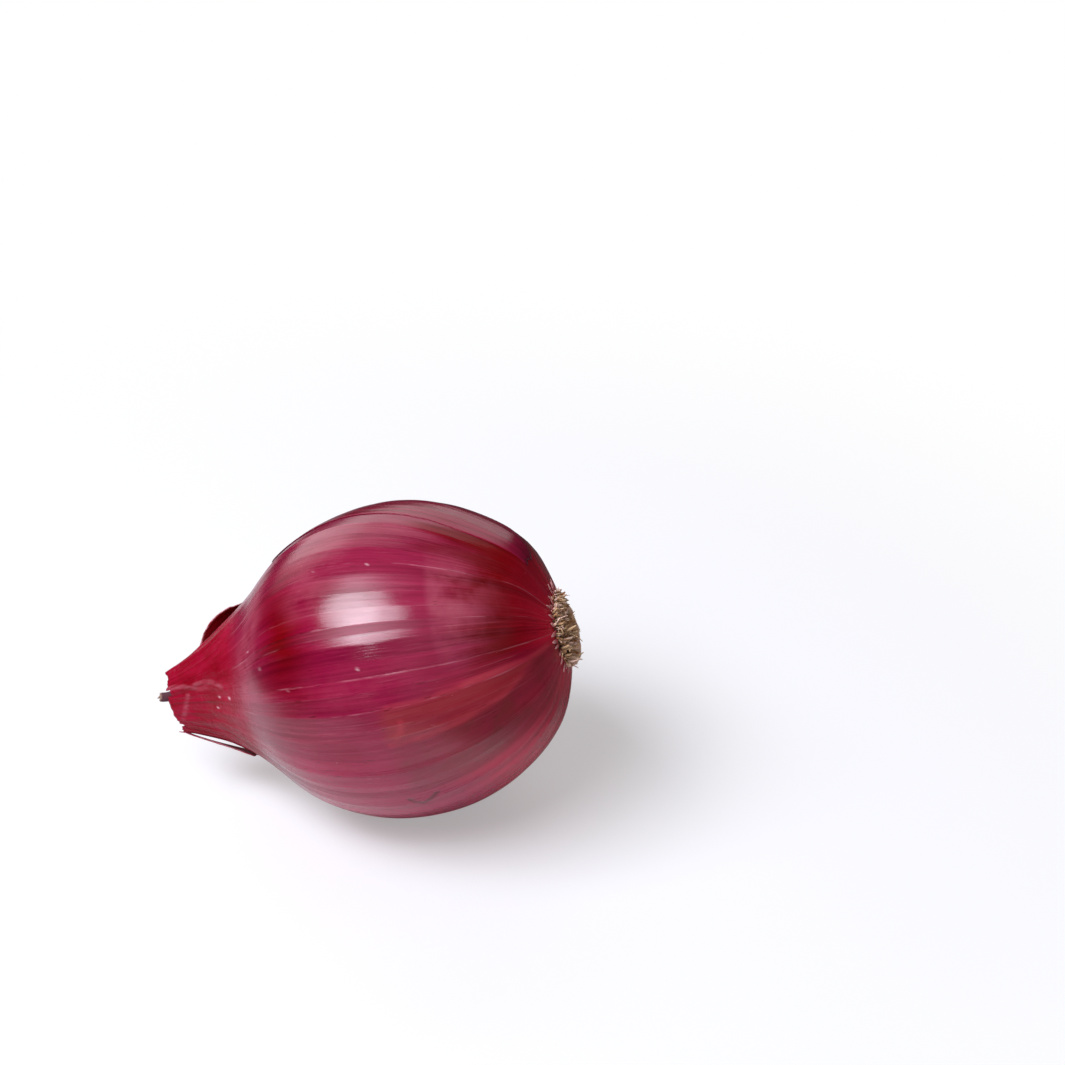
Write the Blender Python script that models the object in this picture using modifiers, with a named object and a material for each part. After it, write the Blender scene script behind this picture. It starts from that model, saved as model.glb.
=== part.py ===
"""A small red onion that lies on its side, modelled in metres with +Z up.

The origin is the middle of the small flat spot on the belly that the onion rests on.
The onion is laid out upright in its own frame and then tipped over by one empty, onion_axis:
local +Z runs from the root end to the neck, local +X ends up on top and local -Y faces the front.
"""

import math
import random

import bmesh
import bpy
from mathutils import Vector

MM = 0.001

# The bulb: two half ellipses that meet at the equator, and a hollow sweep up to the neck.
BULB_RADIUS = 31.75 * MM
ROOT_SIDE_LENGTH = 35.2 * MM  # equator down to the pole of the root end
NECK_SIDE_LENGTH = 33.3 * MM  # equator up to the pole that the upper ellipse would have
SHOULDER_ANGLE = math.radians(50)  # where the sweep to the neck leaves the upper ellipse
NECK_LENGTH = 22.5 * MM  # from there to the torn end of the neck
NECK_END_RADIUS = 5.9 * MM
NECK_END_SLOPE = -0.42  # change of radius for each unit of height at the neck's end
NECK_FLATTENING = 0.42  # how much thinner the neck's end is, front to back, than it is wide
CORE_SETBACK = 4.5 * MM  # how far the solid neck stops short of its papery skins

# How it lies: the root end is raised, and the belly has a small flat spot.
TILT = math.radians(16)
FLAT_SPOT_DEPTH = 0.6 * MM

# The root end.
SEAT_RADIUS = 7.6 * MM  # the bare end of the bulb that carries the basal plate
PLATE_MARGIN = 0.2 * MM  # how much smaller the plate's radius is than its seat
PLATE_RIM = 0.6 * MM
PLATE_DOME = 0.8 * MM  # how far its middle stands out past its rim
ROOT_COUNT = 34
ROOT_RADIUS = 0.40 * MM
ROOT_LENGTHS = (0.8 * MM, 1.5 * MM)
LONG_ROOT_LENGTH = 2.6 * MM
LONG_ROOT_EVERY = 11  # every eleventh root is a long one
ROOT_FIELD = 0.86  # the share of the plate's radius that roots grow on
ROOT_LEANS = (math.radians(10), math.radians(38))  # in the middle of the plate, and at its rim
ROOT_CURL = math.radians(14)  # how much further a root leans at its end
ROOT_TAPER = 0.35  # the share of its radius that a root loses towards its end
ROOT_TWIST = math.radians(12)
ROOT_SEED = 4

# Dry skins and what they keep clear of each other.
SKIN_THICKNESS = 0.35 * MM
CLEARANCE = 0.30 * MM
LEAF_TIP_RADIUS = 1.25 * MM
LEAF_TIP_REACH = 2.6 * MM  # how far the dry leaf tip stands out past the neck's end
LEAF_TIP_BEND = 1.2 * MM  # how far its end bends upwards

TURNED_STEPS = 56
SKIN_FACET = math.radians(7)  # the angle that one facet of a skin spans
SKIN_ROWS = 9
GOLDEN_ANGLE = math.radians(137.508)

EQUATOR = ROOT_SIDE_LENGTH
SHOULDER = EQUATOR + NECK_SIDE_LENGTH * math.sin(SHOULDER_ANGLE)
NECK_END = SHOULDER + NECK_LENGTH
CORE_END = NECK_END - CORE_SETBACK
SEAT = ROOT_SIDE_LENGTH * (1 - math.sqrt(1 - (SEAT_RADIUS / BULB_RADIUS) ** 2))


# ---------------------------------------------------------------- shape of the bulb


def smooth_step(value):
    value = min(max(value, 0.0), 1.0)
    return value * value * (3 - 2 * value)


def bulb_radius(height):
    """Radius of the onion's surface at a height above the root end's pole."""
    if height <= EQUATOR:
        share = (EQUATOR - height) / ROOT_SIDE_LENGTH
        return BULB_RADIUS * math.sqrt(max(1 - share * share, 0))
    if height <= SHOULDER:
        share = (height - EQUATOR) / NECK_SIDE_LENGTH
        return BULB_RADIUS * math.sqrt(1 - share * share)
    start_radius = BULB_RADIUS * math.cos(SHOULDER_ANGLE)
    start_slope = -BULB_RADIUS / NECK_SIDE_LENGTH * math.tan(SHOULDER_ANGLE)
    t = (height - SHOULDER) / NECK_LENGTH
    return (
        (2 * t**3 - 3 * t**2 + 1) * start_radius
        + (t**3 - 2 * t**2 + t) * start_slope * NECK_LENGTH
        + (3 * t**2 - 2 * t**3) * NECK_END_RADIUS
        + (t**3 - t**2) * NECK_END_SLOPE * NECK_LENGTH
    )


def flattening(height):
    """Front-to-back scale of the cross-section: 1 on the bulb, less along the neck."""
    return 1 - NECK_FLATTENING * smooth_step((height - SHOULDER) / NECK_LENGTH)


def outline_slope(height):
    """Change of the onion's radius for each unit of height."""
    step = 0.01 * MM
    return (bulb_radius(height + step) - bulb_radius(height - step)) / (2 * step)


def surface_point(angle, height, distance=0.0):
    """A point at a distance from the onion's surface. Angle 0 is on top, -90 degrees in front."""
    radius = bulb_radius(height)
    offset = distance * math.hypot(1, outline_slope(height))
    return Vector(
        (
            (radius + offset) * math.cos(angle),
            (radius * flattening(height) + offset) * math.sin(angle),
            height,
        )
    )


def bulb_heights():
    """Heights of the turned profile's points from the neck core's end to the seat."""
    neck = [CORE_END - (CORE_END - SHOULDER) * i / 7 for i in range(7)]
    upper = [EQUATOR + NECK_SIDE_LENGTH * math.sin(SHOULDER_ANGLE * (9 - i) / 9) for i in range(9)]
    seat_angle = math.acos(SEAT_RADIUS / BULB_RADIUS)
    lower = [EQUATOR - ROOT_SIDE_LENGTH * math.sin(seat_angle * i / 14) for i in range(15)]
    return neck + upper + lower


def lying_position():
    """Where the root end's pole goes, so that the flat spot's middle is at the origin."""
    heights = [CORE_END * i / 2000 for i in range(2001)]
    belly = [
        (
            -h * math.cos(TILT) + bulb_radius(h) * math.sin(TILT),
            -h * math.sin(TILT) - bulb_radius(h) * math.cos(TILT),
        )
        for h in heights
    ]
    cut = min(z for _, z in belly) + FLAT_SPOT_DEPTH
    below = [x for x, z in belly if z < cut]
    return Vector((-(min(below) + max(below)) / 2, 0, -cut))


# ---------------------------------------------------------------- scene helpers


def clear_scene():
    for obj in list(bpy.data.objects):
        bpy.data.objects.remove(obj)


def new_collection(name):
    collection = bpy.data.collections.new(name)
    bpy.context.scene.collection.children.link(collection)
    return collection


def new_material(name, colour, roughness):
    material = bpy.data.materials.new(name)
    material.use_nodes = True
    shader = material.node_tree.nodes["Principled BSDF"]
    shader.inputs["Base Color"].default_value = (*colour, 1)
    shader.inputs["Roughness"].default_value = roughness
    shader.inputs["Metallic"].default_value = 0
    return material


def add_object(name, data, collection, material, parent):
    obj = bpy.data.objects.new(name, data)
    collection.objects.link(obj)
    obj.parent = parent
    obj.data.materials.append(material)
    return obj


def smooth_shaded(mesh):
    mesh.shade_smooth()
    mesh.set_sharp_from_angle(angle=math.radians(40))
    return mesh


def turned_mesh(name, profile):
    """Mesh of a profile of (radius, height) points, top to bottom, turned about local Z."""
    outline = bpy.data.meshes.new(name + "_outline")
    points = [(radius, 0, height) for radius, height in profile]
    outline.from_pydata(points, [(i, i + 1) for i in range(len(points) - 1)], [])
    turner = bpy.data.objects.new(name + "_turner", outline)
    bpy.context.scene.collection.objects.link(turner)
    screw = turner.modifiers.new("turn", "SCREW")
    screw.axis = "Z"
    screw.steps = TURNED_STEPS
    screw.render_steps = TURNED_STEPS
    screw.use_merge_vertices = True
    screw.merge_threshold = 0.00001
    graph = bpy.context.evaluated_depsgraph_get()
    mesh = bpy.data.meshes.new_from_object(turner.evaluated_get(graph))
    mesh.name = name
    bpy.data.objects.remove(turner)
    return smooth_shaded(mesh)


# ---------------------------------------------------------------- sub-parts


def add_bulb(collection, cutters, material, parent):
    """The bulb with the solid part of its neck, turned, its neck flattened and its belly cut flat."""
    outline = [(0, CORE_END)]
    outline += [(bulb_radius(height), height) for height in bulb_heights()]
    outline += [(0, SEAT)]
    mesh = turned_mesh("bulb", outline)
    for vertex in mesh.vertices:
        vertex.co.y *= flattening(vertex.co.z)
    bulb = add_object("bulb", mesh, collection, material, parent)
    flat_spot = bulb.modifiers.new("flat_spot", "BOOLEAN")
    flat_spot.operation = "DIFFERENCE"
    flat_spot.object = floor_cutter(cutters)


def floor_cutter(collection):
    """A block whose top face is the floor."""
    side = 2 * BULB_RADIUS
    shape = bmesh.new()
    bmesh.ops.create_cube(shape, size=side)
    mesh = bpy.data.meshes.new("floor_cutter")
    shape.to_mesh(mesh)
    shape.free()
    cutter = bpy.data.objects.new("floor_cutter", mesh)
    collection.objects.link(cutter)
    cutter.location.z = -side / 2
    cutter.hide_render = True
    cutter.display_type = "WIRE"
    return cutter


def add_skin(name, collection, material, parent, angles, heights, gap, lift, tear):
    """A torn piece of dry skin that follows the onion's surface, a gap above it.

    It spans angles (degrees) and heights, and lifts off by lift towards its upper end, whose
    edge is torn: tear is the depth of its teeth.
    """
    chance = random.Random(name)
    first, last = (math.radians(angle) for angle in angles)
    low, high = heights
    columns = round((last - first) / SKIN_FACET)
    teeth = [chance.random() for _ in range(columns + 1)]
    shape = bmesh.new()
    bmesh.ops.create_grid(shape, x_segments=columns, y_segments=SKIN_ROWS, size=0.5)
    for vertex in shape.verts:
        across = vertex.co.x + 0.5
        up = vertex.co.y + 0.5
        # The end is torn back further at its two sides than in its middle.
        end = high - tear * (teeth[round(across * columns)] + (2 * across - 1) ** 4 / 2)
        height = low + (end - low) * up
        offset = gap + SKIN_THICKNESS / 2 + lift * up**2
        vertex.co = surface_point(first + (last - first) * across, height, offset)
    mesh = bpy.data.meshes.new(name)
    shape.to_mesh(mesh)
    shape.free()
    skin = add_object(name, smooth_shaded(mesh), collection, material, parent)
    thicken = skin.modifiers.new("thickness", "SOLIDIFY")
    thicken.thickness = SKIN_THICKNESS
    thicken.offset = 0


def add_neck_skins(collection, material, parent):
    """The neck's papery skins, front and back, and two loose flaps that lie over them."""
    over = 2 * CLEARANCE + SKIN_THICKNESS  # a flap's gap to the bulb, past the skin beneath it
    skins = {
        # name: angles, root and end measured from the shoulder and the neck's end, gap, lift, tear
        "neck_skin_front": ((-150, 36), 4.0 * MM, 0.0 * MM, CLEARANCE, 0.0 * MM, 1.2 * MM),
        "neck_skin_back": ((46, 200), 6.0 * MM, 0.0 * MM, CLEARANCE, 0.0 * MM, 2.2 * MM),
        "skin_flap_under": ((-190, -141), 9.0 * MM, 0.5 * MM, over, 0.9 * MM, 0.8 * MM),
        "skin_flap_back": ((30, 92), 1.0 * MM, 6.0 * MM, over, 3.2 * MM, 2.0 * MM),
    }
    for name, (angles, root, setback, gap, lift, tear) in skins.items():
        heights = (SHOULDER + root, NECK_END - setback)
        add_skin(name, collection, material, parent, angles, heights, gap, lift, tear)


def add_strand(name, collection, material, parent, points, radius, shares):
    """A round strand, such as a root, along a list of points, each with its share of the radius."""
    curve = bpy.data.curves.new(name, "CURVE")
    curve.dimensions = "3D"
    curve.bevel_depth = radius
    curve.bevel_resolution = 1
    curve.use_fill_caps = True
    spline = curve.splines.new("POLY")
    spline.points.add(len(points) - 1)
    for i, point in enumerate(points):
        spline.points[i].co = (*point, 1)
        spline.points[i].radius = shares[i]
    add_object(name, curve, collection, material, parent)


def plate_height(radius):
    """Height of the basal plate's outer face at a radius from the axis. It stands out downwards."""
    share = radius / (SEAT_RADIUS - PLATE_MARGIN)
    return SEAT - CLEARANCE - PLATE_RIM - PLATE_DOME * (1 - share * share)


def add_basal_plate(collection, material, parent):
    """The corky disc that the roots grow from: flat against its seat, domed outwards."""
    edge = SEAT_RADIUS - PLATE_MARGIN
    outline = [(0, SEAT - CLEARANCE), (edge, SEAT - CLEARANCE)]
    outline += [(edge * (1 - i / 6), plate_height(edge * (1 - i / 6))) for i in range(7)]
    add_object("basal_plate", turned_mesh("basal_plate", outline), collection, material, parent)


def root_points(index, chance):
    """A short curved root that starts a clearance away from the plate and leans outwards."""
    field = ROOT_FIELD * (SEAT_RADIUS - PLATE_MARGIN)
    away = field * math.sqrt((index + 0.5) / ROOT_COUNT)
    around = index * GOLDEN_ANGLE
    length = chance.uniform(*ROOT_LENGTHS)
    if index % LONG_ROOT_EVERY == LONG_ROOT_EVERY - 1:
        length = LONG_ROOT_LENGTH
    middle_lean, rim_lean = ROOT_LEANS
    lean = middle_lean + (rim_lean - middle_lean) * away / field
    twist = chance.uniform(-ROOT_TWIST, ROOT_TWIST)
    start = Vector((away * math.cos(around), away * math.sin(around), plate_height(away)))
    start.z -= CLEARANCE + ROOT_RADIUS * math.sin(lean)
    points = [start]
    steps = 4
    for i in range(steps):
        angle = lean + ROOT_CURL * i / steps
        turn = around + twist * i
        step = Vector(
            (
                math.sin(angle) * math.cos(turn),
                math.sin(angle) * math.sin(turn),
                -math.cos(angle),
            )
        )
        points.append(points[-1] + step * length / steps)
    return points


def add_roots(collection, material, parent):
    chance = random.Random(ROOT_SEED)
    for index in range(ROOT_COUNT):
        points = root_points(index, chance)
        shares = [1 - ROOT_TAPER * i / (len(points) - 1) for i in range(len(points))]
        add_strand(f"root_{index + 1:02d}", collection, material, parent, points, ROOT_RADIUS, shares)


def add_leaf_tip(collection, material, parent):
    """The shrivelled inner leaf that sticks out of the neck, seated on the end of the solid neck."""
    start = CORE_END + CLEARANCE
    reach = NECK_END + LEAF_TIP_REACH - start
    points = [Vector((LEAF_TIP_BEND * (i / 5) ** 3, 0, start + reach * i / 5)) for i in range(6)]
    shares = (1.0, 1.0, 0.9, 0.75, 0.7, 0.45)
    add_strand("dry_leaf_tip", collection, material, parent, points, LEAF_TIP_RADIUS, shares)


def main():
    clear_scene()
    onion = new_collection("onion")
    cutters = new_collection("cutters")
    skin_red = new_material("bulb_skin", (0.30, 0.006, 0.05), 0.3)
    dry_red = new_material("dry_skin", (0.42, 0.02, 0.07), 0.45)
    cork = new_material("basal_cork", (0.30, 0.18, 0.10), 0.8)
    straw = new_material("root_straw", (0.55, 0.42, 0.27), 0.75)
    dry_brown = new_material("dry_leaf", (0.16, 0.06, 0.05), 0.7)

    axis = bpy.data.objects.new("onion_axis", None)
    onion.objects.link(axis)
    axis.location = lying_position()
    axis.rotation_euler.y = -(math.pi / 2 + TILT)

    add_bulb(onion, cutters, skin_red, axis)
    add_neck_skins(onion, dry_red, axis)
    add_leaf_tip(onion, dry_brown, axis)
    add_basal_plate(onion, cork, axis)
    add_roots(onion, straw, axis)


main()
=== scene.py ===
"""The look of a small red onion that lies on its side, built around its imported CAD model.

Every visible piece is laid out in the onion's own frame, as the CAD model is: local +Z runs from the
root end to the neck, angle 0 is on top, -90 degrees faces the front and 90 the back.
Lengths are in metres. Angles round the onion are in degrees.
"""

import math
import random

import bpy
import numpy as np
from mathutils import Matrix, Vector


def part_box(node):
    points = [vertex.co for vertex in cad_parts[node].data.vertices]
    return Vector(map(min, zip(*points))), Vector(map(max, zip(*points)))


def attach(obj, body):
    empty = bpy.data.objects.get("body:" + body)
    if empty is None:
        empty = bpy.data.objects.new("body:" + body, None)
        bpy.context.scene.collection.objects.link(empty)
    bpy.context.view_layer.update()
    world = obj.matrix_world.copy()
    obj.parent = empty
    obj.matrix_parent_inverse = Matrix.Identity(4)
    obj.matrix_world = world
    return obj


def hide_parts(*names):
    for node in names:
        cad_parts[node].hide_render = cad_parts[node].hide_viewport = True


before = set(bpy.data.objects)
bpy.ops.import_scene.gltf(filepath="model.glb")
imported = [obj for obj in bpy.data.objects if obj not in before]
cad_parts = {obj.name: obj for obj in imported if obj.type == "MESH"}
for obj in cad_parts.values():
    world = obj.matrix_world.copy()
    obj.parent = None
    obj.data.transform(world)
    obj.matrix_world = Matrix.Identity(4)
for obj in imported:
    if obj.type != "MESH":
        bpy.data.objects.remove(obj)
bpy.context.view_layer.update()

MM = 0.001

# ------------------------ sizes shared with the CAD model

bulb_low, bulb_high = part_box("bulb")
BULB_RADIUS = (bulb_high.y - bulb_low.y) / 2
ROOT_SIDE_LENGTH = 35.2 * MM
NECK_SIDE_LENGTH = 33.3 * MM
SHOULDER_ANGLE = math.radians(50)
NECK_LENGTH = 22.5 * MM
NECK_END_RADIUS = 5.9 * MM
NECK_END_SLOPE = -0.42
NECK_FLATTENING = 0.42
CORE_SETBACK = 4.5 * MM
TILT = math.radians(16)
FLAT_SPOT_DEPTH = 0.6 * MM
SEAT_RADIUS = 7.6 * MM  # the bare end of the bulb that carries the corky plate
PLATE_RADIUS = 7.4 * MM
CAD_ROOTS = 34

EQUATOR = ROOT_SIDE_LENGTH
SHOULDER = EQUATOR + NECK_SIDE_LENGTH * math.sin(SHOULDER_ANGLE)
NECK_END = SHOULDER + NECK_LENGTH
CORE_END = NECK_END - CORE_SETBACK
SEAT = ROOT_SIDE_LENGTH * (1 - math.sqrt(1 - (SEAT_RADIUS / BULB_RADIUS) ** 2))


# ------------------------ noise and small helpers


def smooth_step(low, high, value):
    """0 up to low, 1 from high on, and smooth between them. low may be the greater of the two."""
    t = np.clip((value - low) / (high - low), 0, 1)
    return t * t * (3 - 2 * t)


def bell(value, middle, width):
    """1 at the middle, and near 0 at two widths from it."""
    return np.exp(-(((value - middle) / width) ** 2))


def turned(angle):
    """An angle brought into -180 to 180."""
    return (np.asarray(angle) + 180) % 360 - 180


def lattice_value(i, j, k, seed):
    """A repeatable number from 0 to 1 for each whole-numbered place."""
    mixed = (i * 374761393 + j * 668265263 + k * 1442695041 + seed * 1274126177) & 0xFFFFFFFF
    mixed = ((mixed ^ (mixed >> 13)) * 1103515245) & 0xFFFFFFFF
    mixed = ((mixed ^ (mixed >> 16)) * 69069) & 0xFFFFFFFF
    return ((mixed ^ (mixed >> 15)) & 0xFFFFFF) / 0xFFFFFF


def value_noise(x, y, z, seed):
    """Smooth noise from -1 to 1 with features about one unit wide."""
    x, y, z = np.broadcast_arrays(x, y, z)
    whole = [np.floor(v).astype(np.int64) for v in (x, y, z)]
    part = [v - w for v, w in zip((x, y, z), whole)]
    part = [p * p * p * (p * (p * 6 - 15) + 10) for p in part]
    total = np.zeros(x.shape)
    for corner in range(8):
        step = (corner & 1, corner >> 1 & 1, corner >> 2 & 1)
        weight = np.ones(x.shape)
        for p, s in zip(part, step):
            weight = weight * (p if s else 1 - p)
        place = [w + s for w, s in zip(whole, step)]
        total += weight * lattice_value(*place, seed)
    return 2 * total - 1


def around_noise(angle, height, across, along, seed, layers=2):
    """Noise on the onion: its features are across wide at the equator, and along long."""
    turn = np.radians(angle)
    ring = BULB_RADIUS / across
    x, y, z = ring * np.cos(turn) + 40, ring * np.sin(turn) + 40, height / along + 40
    return sum(value_noise(x * 2**n, y * 2**n, z * 2**n, seed + n) / 2**n for n in range(layers))


# ------------------------ the onion's surface


def bulb_radius(height):
    """Radius of the plain turned shape at a height above the root end's pole."""
    height = np.asarray(height, float)
    below = BULB_RADIUS * np.sqrt(np.clip(1 - ((EQUATOR - height) / ROOT_SIDE_LENGTH) ** 2, 0, 1))
    above = BULB_RADIUS * np.sqrt(np.clip(1 - ((height - EQUATOR) / NECK_SIDE_LENGTH) ** 2, 0, 1))
    start_radius = BULB_RADIUS * math.cos(SHOULDER_ANGLE)
    start_slope = -BULB_RADIUS / NECK_SIDE_LENGTH * math.tan(SHOULDER_ANGLE)
    t = (height - SHOULDER) / NECK_LENGTH
    neck = (
        (2 * t**3 - 3 * t**2 + 1) * start_radius
        + (t**3 - 2 * t**2 + t) * start_slope * NECK_LENGTH
        + (3 * t**2 - 2 * t**3) * NECK_END_RADIUS
        + (t**3 - t**2) * NECK_END_SLOPE * NECK_LENGTH
    )
    return np.where(height <= EQUATOR, below, np.where(height <= SHOULDER, above, neck))


def flattening(height):
    """How thick the neck is, front to back, as a share of its width."""
    return 1 - NECK_FLATTENING * smooth_step(SHOULDER, NECK_END, height)


def lying_position():
    """Where the root end's pole goes, so that the flat spot's middle is at the origin."""
    heights = np.linspace(0, CORE_END, 2001)
    radii = bulb_radius(heights)
    x = -heights * math.cos(TILT) + radii * math.sin(TILT)
    z = -heights * math.sin(TILT) - radii * math.cos(TILT)
    cut = z.min() + FLAT_SPOT_DEPTH
    below = x[z < cut]
    return Vector((-(below.min() + below.max()) / 2, 0, -cut))


ONION_AXIS = Matrix.Translation(lying_position()) @ Matrix.Rotation(-(math.pi / 2 + TILT), 4, "Y")


# ------------------------ veins, strips and relief

FRONT_STRIPS = [
    # angle of the vein that it starts at, how bright its red is, how dull its gloss is
    (-88.5, 0.50, 0.5),
    (-84.5, 0.55, 0.6),
    (-80.2, 0.50, 0.4),
    (-73.5, 0.60, 0.5),
    (-67.0, 0.85, 0.4),
    (-62.0, 0.60, 0.3),
    (-56.2, 0.35, 0.2),
    (-50.6, 0.60, 0.5),
    (-47.2, 0.45, 1.3),
    (-43.9, 0.80, 0.2),
    (-38.5, 0.75, 0.25),
    (-33.0, 0.70, 0.9),
    (-26.6, 0.50, 0.6),
    (-22.3, 0.60, 0.5),
    (-15.5, 0.50, 0.3),
    (-9.0, 0.60, 0.2),
    (-3.6, 0.50, 0.2),
    (4.0, 0.45, 0.3),
]
FRONT_VEINS = [strip[0] for strip in FRONT_STRIPS]
STRONG_VEINS = (-22.3, -62.0, -43.9, -73.5)  # the front's palest veins
HIDDEN_GAPS = (2.6, 3.4, 4.4, 5.4, 6.6)  # degrees between the veins on the sides the photo hides


def make_veins():
    """Angles of the leaf veins, which run from the root end to the neck and divide the skin in strips."""
    chance = random.Random(11)
    hidden = 360 + FRONT_VEINS[0] - FRONT_VEINS[-1]
    gaps = []
    while sum(gaps) < hidden:
        gaps.append(chance.choice(HIDDEN_GAPS) * chance.uniform(0.9, 1.15))
    rest = FRONT_VEINS[-1] + hidden / sum(gaps) * np.cumsum(gaps[:-1])
    return FRONT_VEINS + rest.tolist()
VEINS = make_veins()
VEIN_EDGES = np.array(VEINS + [VEINS[0] + 360])


def strip_values(low, high, seed):
    """One repeatable number for each strip between two veins."""
    chance = random.Random(seed)
    return np.array([chance.uniform(low, high) for _ in VEINS])


VEIN_LIFT = strip_values(-0.03, 0.03, 3) * MM  # how far each vein stands out
STRIP_FLATNESS = strip_values(0.35, 0.9, 13)  # 1 is a flat strip, 0 a strip as round as the bulb
BROAD_FACETS = np.array([-161, -128, -99, -73.5, -50.6, -26.6, -3.6, 26, 58, 88, 121, 158, 199], float)
BROAD_FLATNESS = 0.22
ROOT_DENT = 1.3 * MM  # how far the root end is drawn in
NECK_FULLNESS = 1.9 * MM  # how much the photo's neck stands out on top past the CAD model's
def vein_drift(angle, height):
    """How far the veins bend sideways along their way: they twist on top, and hardly in front."""
    top = bell(turned(angle - 15), 0, 50)
    rise = np.clip((height - 20 * MM) / (36 * MM), -0.5, 1.0)
    rise = rise * (1 - 0.7 * smooth_step(SHOULDER - 2 * MM, SHOULDER + 12 * MM, height))
    return 20 * top * rise + 1.0 * around_noise(angle, height, 14 * MM, 30 * MM, 5)


def strip_place(angle):
    """Index of the strip that each angle lies in, and the share of the way across it."""
    wrapped = (np.asarray(angle) - VEIN_EDGES[0]) % 360 + VEIN_EDGES[0]
    index = np.clip(np.searchsorted(VEIN_EDGES, wrapped + 1e-7, side="right") - 1, 0, len(VEINS) - 1)
    share = (wrapped - VEIN_EDGES[index]) / (VEIN_EDGES[index + 1] - VEIN_EDGES[index])
    return index, np.clip(share, 0, 1)


def broad_facet(angle):
    """The flattening of the few broad sides that the bulb has, like the leaves beneath its skin."""
    wrapped = (np.asarray(angle) - BROAD_FACETS[0]) % 360 + BROAD_FACETS[0]
    index = np.clip(np.searchsorted(BROAD_FACETS, wrapped, side="right") - 1, 0, len(BROAD_FACETS) - 2)
    start, width = BROAD_FACETS[index], np.diff(BROAD_FACETS)[index]
    share = (wrapped - start) / width
    sag = (np.radians(width) * BULB_RADIUS) ** 2 / (8 * BULB_RADIUS)
    return BROAD_FLATNESS * sag * (0.5 - 4 * share * (1 - share))


def strip_relief(angle):
    """The ridges of the veins and the flatter skin between them, at the equator."""
    index, share = strip_place(angle)
    width = np.radians(np.diff(VEIN_EDGES)[index]) * BULB_RADIUS
    round_share = share + 0.10 * np.sin(2 * np.pi * share) * (1 - STRIP_FLATNESS[index])
    lift = VEIN_LIFT[index] * (1 - round_share) + VEIN_LIFT[(index + 1) % len(VEINS)] * round_share
    sag = STRIP_FLATNESS[index] * width**2 / (8 * BULB_RADIUS) * 4 * share * (1 - share)
    return lift - sag + broad_facet(angle)


def relief(angle, height):
    """How far the skin stands out past the plain turned shape."""
    body = smooth_step(0, 8 * MM, height)
    body = body * (1 - smooth_step(SHOULDER - 6 * MM, SHOULDER + 6 * MM, height))
    facet = strip_relief(angle) * bulb_radius(height) / BULB_RADIUS
    broad = 0.30 * MM * around_noise(angle, height, 30 * MM, 45 * MM, 21)
    waves = 0.045 * MM * around_noise(angle, height, 6 * MM, 9 * MM, 31)

    neck = smooth_step(SHOULDER - 2 * MM, NECK_END - 6 * MM, height)
    folds = 0.30 * MM * around_noise(angle, height, 9 * MM, 16 * MM, 41)
    creases = -0.22 * MM * np.abs(around_noise(angle, height, 5 * MM, 11 * MM, 47)) ** 0.7

    fullness = smooth_step(SHOULDER - 3 * MM, SHOULDER + 10 * MM, height)
    top = NECK_FULLNESS * bell(turned(angle - 10), 0, 60) * fullness
    top = top + 0.6 * MM * bell(turned(angle - 25), 0, 40) * bell(height, 58 * MM, 10 * MM)
    root_bulge = 0.9 * MM * bell(turned(angle - 12), 0, 40) * bell(height, 7 * MM, 5 * MM)
    return (facet + broad + waves) * body + (folds + creases + 0.1 * MM) * neck + top + root_bulge
def surface(angle, height, lift=0.0):
    """Local points of the onion's skin, lifted off it by lift. The angles follow the veins."""
    angle, height, lift = np.broadcast_arrays(*(np.asarray(v, float) for v in (angle, height, lift)))
    turn = np.radians(angle + vein_drift(angle, height))
    step = 0.02 * MM
    slope = (bulb_radius(height + step) - bulb_radius(height - step)) / (2 * step)
    slope = np.clip(slope, -4, 4)
    radius = bulb_radius(height)
    out = (relief(angle, height) + lift) / np.hypot(1, slope)
    x = (radius + out) * np.cos(turn)
    y = (radius * flattening(height) + out) * np.sin(turn)
    drawn_in = ROOT_DENT * (1 - smooth_step(0, 7 * MM, height))
    return settled(np.stack([x, y, height - slope * out + drawn_in], axis=-1))


def settled(points):
    """The points, with those that would sink below the ground brought up to it."""
    matrix = np.array(ONION_AXIS)
    world = points @ matrix[:3, :3].T + matrix[:3, 3]
    world[..., 2] = np.maximum(world[..., 2], 0)
    return (world - matrix[:3, 3]) @ matrix[:3, :3]


# ------------------------ meshes and pieces


def grid_mesh(name, points, wrap=False):
    """A mesh over rows and columns of points. With wrap, the last column joins the first."""
    rows, columns = points.shape[:2]
    index = np.arange(rows * columns).reshape(rows, columns)
    if wrap:
        index = np.concatenate([index, index[:, :1]], axis=1)
    corners = (index[:-1, :-1], index[:-1, 1:], index[1:, 1:], index[1:, :-1])
    faces = np.stack(corners, axis=-1).reshape(-1, 4)
    mesh = bpy.data.meshes.new(name)
    mesh.from_pydata(points.reshape(-1, 3).tolist(), [], faces.tolist())
    mesh.shade_smooth()
    return mesh


def paint(mesh, name, values, domain="POINT"):
    """Stores a number for each point or face of the mesh."""
    values = np.asarray(values, np.float32).ravel()
    mesh.attributes.new(name, "FLOAT", domain).data.foreach_set("value", values)


def paint_flow(mesh, angle, height):
    """The place of each point on a straight cylinder, in which streaks follow the veins."""
    turn = np.radians(angle)
    flow = np.stack([BULB_RADIUS * np.cos(turn), BULB_RADIUS * np.sin(turn), height], axis=-1)
    flow = flow.astype(np.float32).ravel()
    mesh.attributes.new("flow", "FLOAT_VECTOR", "POINT").data.foreach_set("vector", flow)


def joined_mesh(name, points, faces, shade, along):
    """A mesh of several small parts, with a shade for each point and its share of the way along."""
    mesh = bpy.data.meshes.new(name)
    mesh.from_pydata(points, [], faces)
    mesh.shade_smooth()
    paint(mesh, "shade", shade)
    paint(mesh, "along", along)
    return mesh


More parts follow.
